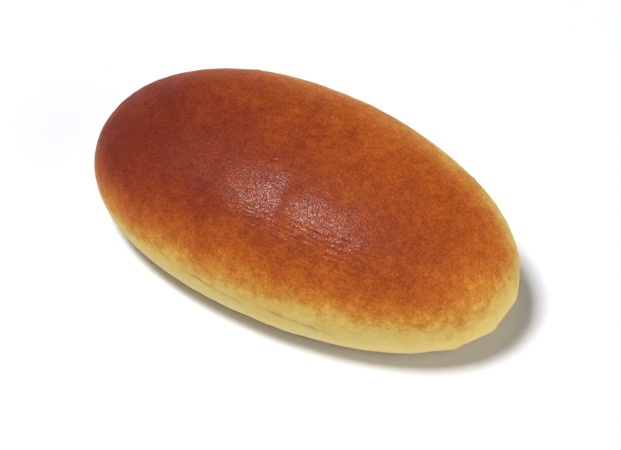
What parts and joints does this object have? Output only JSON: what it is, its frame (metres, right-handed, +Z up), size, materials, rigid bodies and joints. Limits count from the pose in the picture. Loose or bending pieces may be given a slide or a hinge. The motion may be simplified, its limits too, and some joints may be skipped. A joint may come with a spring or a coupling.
{
  "type": "bread roll",
  "caption": "Long soft bread roll of one piece, with a smooth domed top, tucked-under sides and a flat base that it rests on.",
  "frame": {"origin": "middle of the roll's outline, at the level of the flat base that it rests on", "axes": "+Z up, +X along the length towards the slimmer front end, +Y across the roll"},
  "size_m": [0.138, 0.0766, 0.0475],
  "materials": {
    "crust": "satin"
  },
  "bodies": {
    "root": {"roll": "crust"}
  },
  "joints": []
}
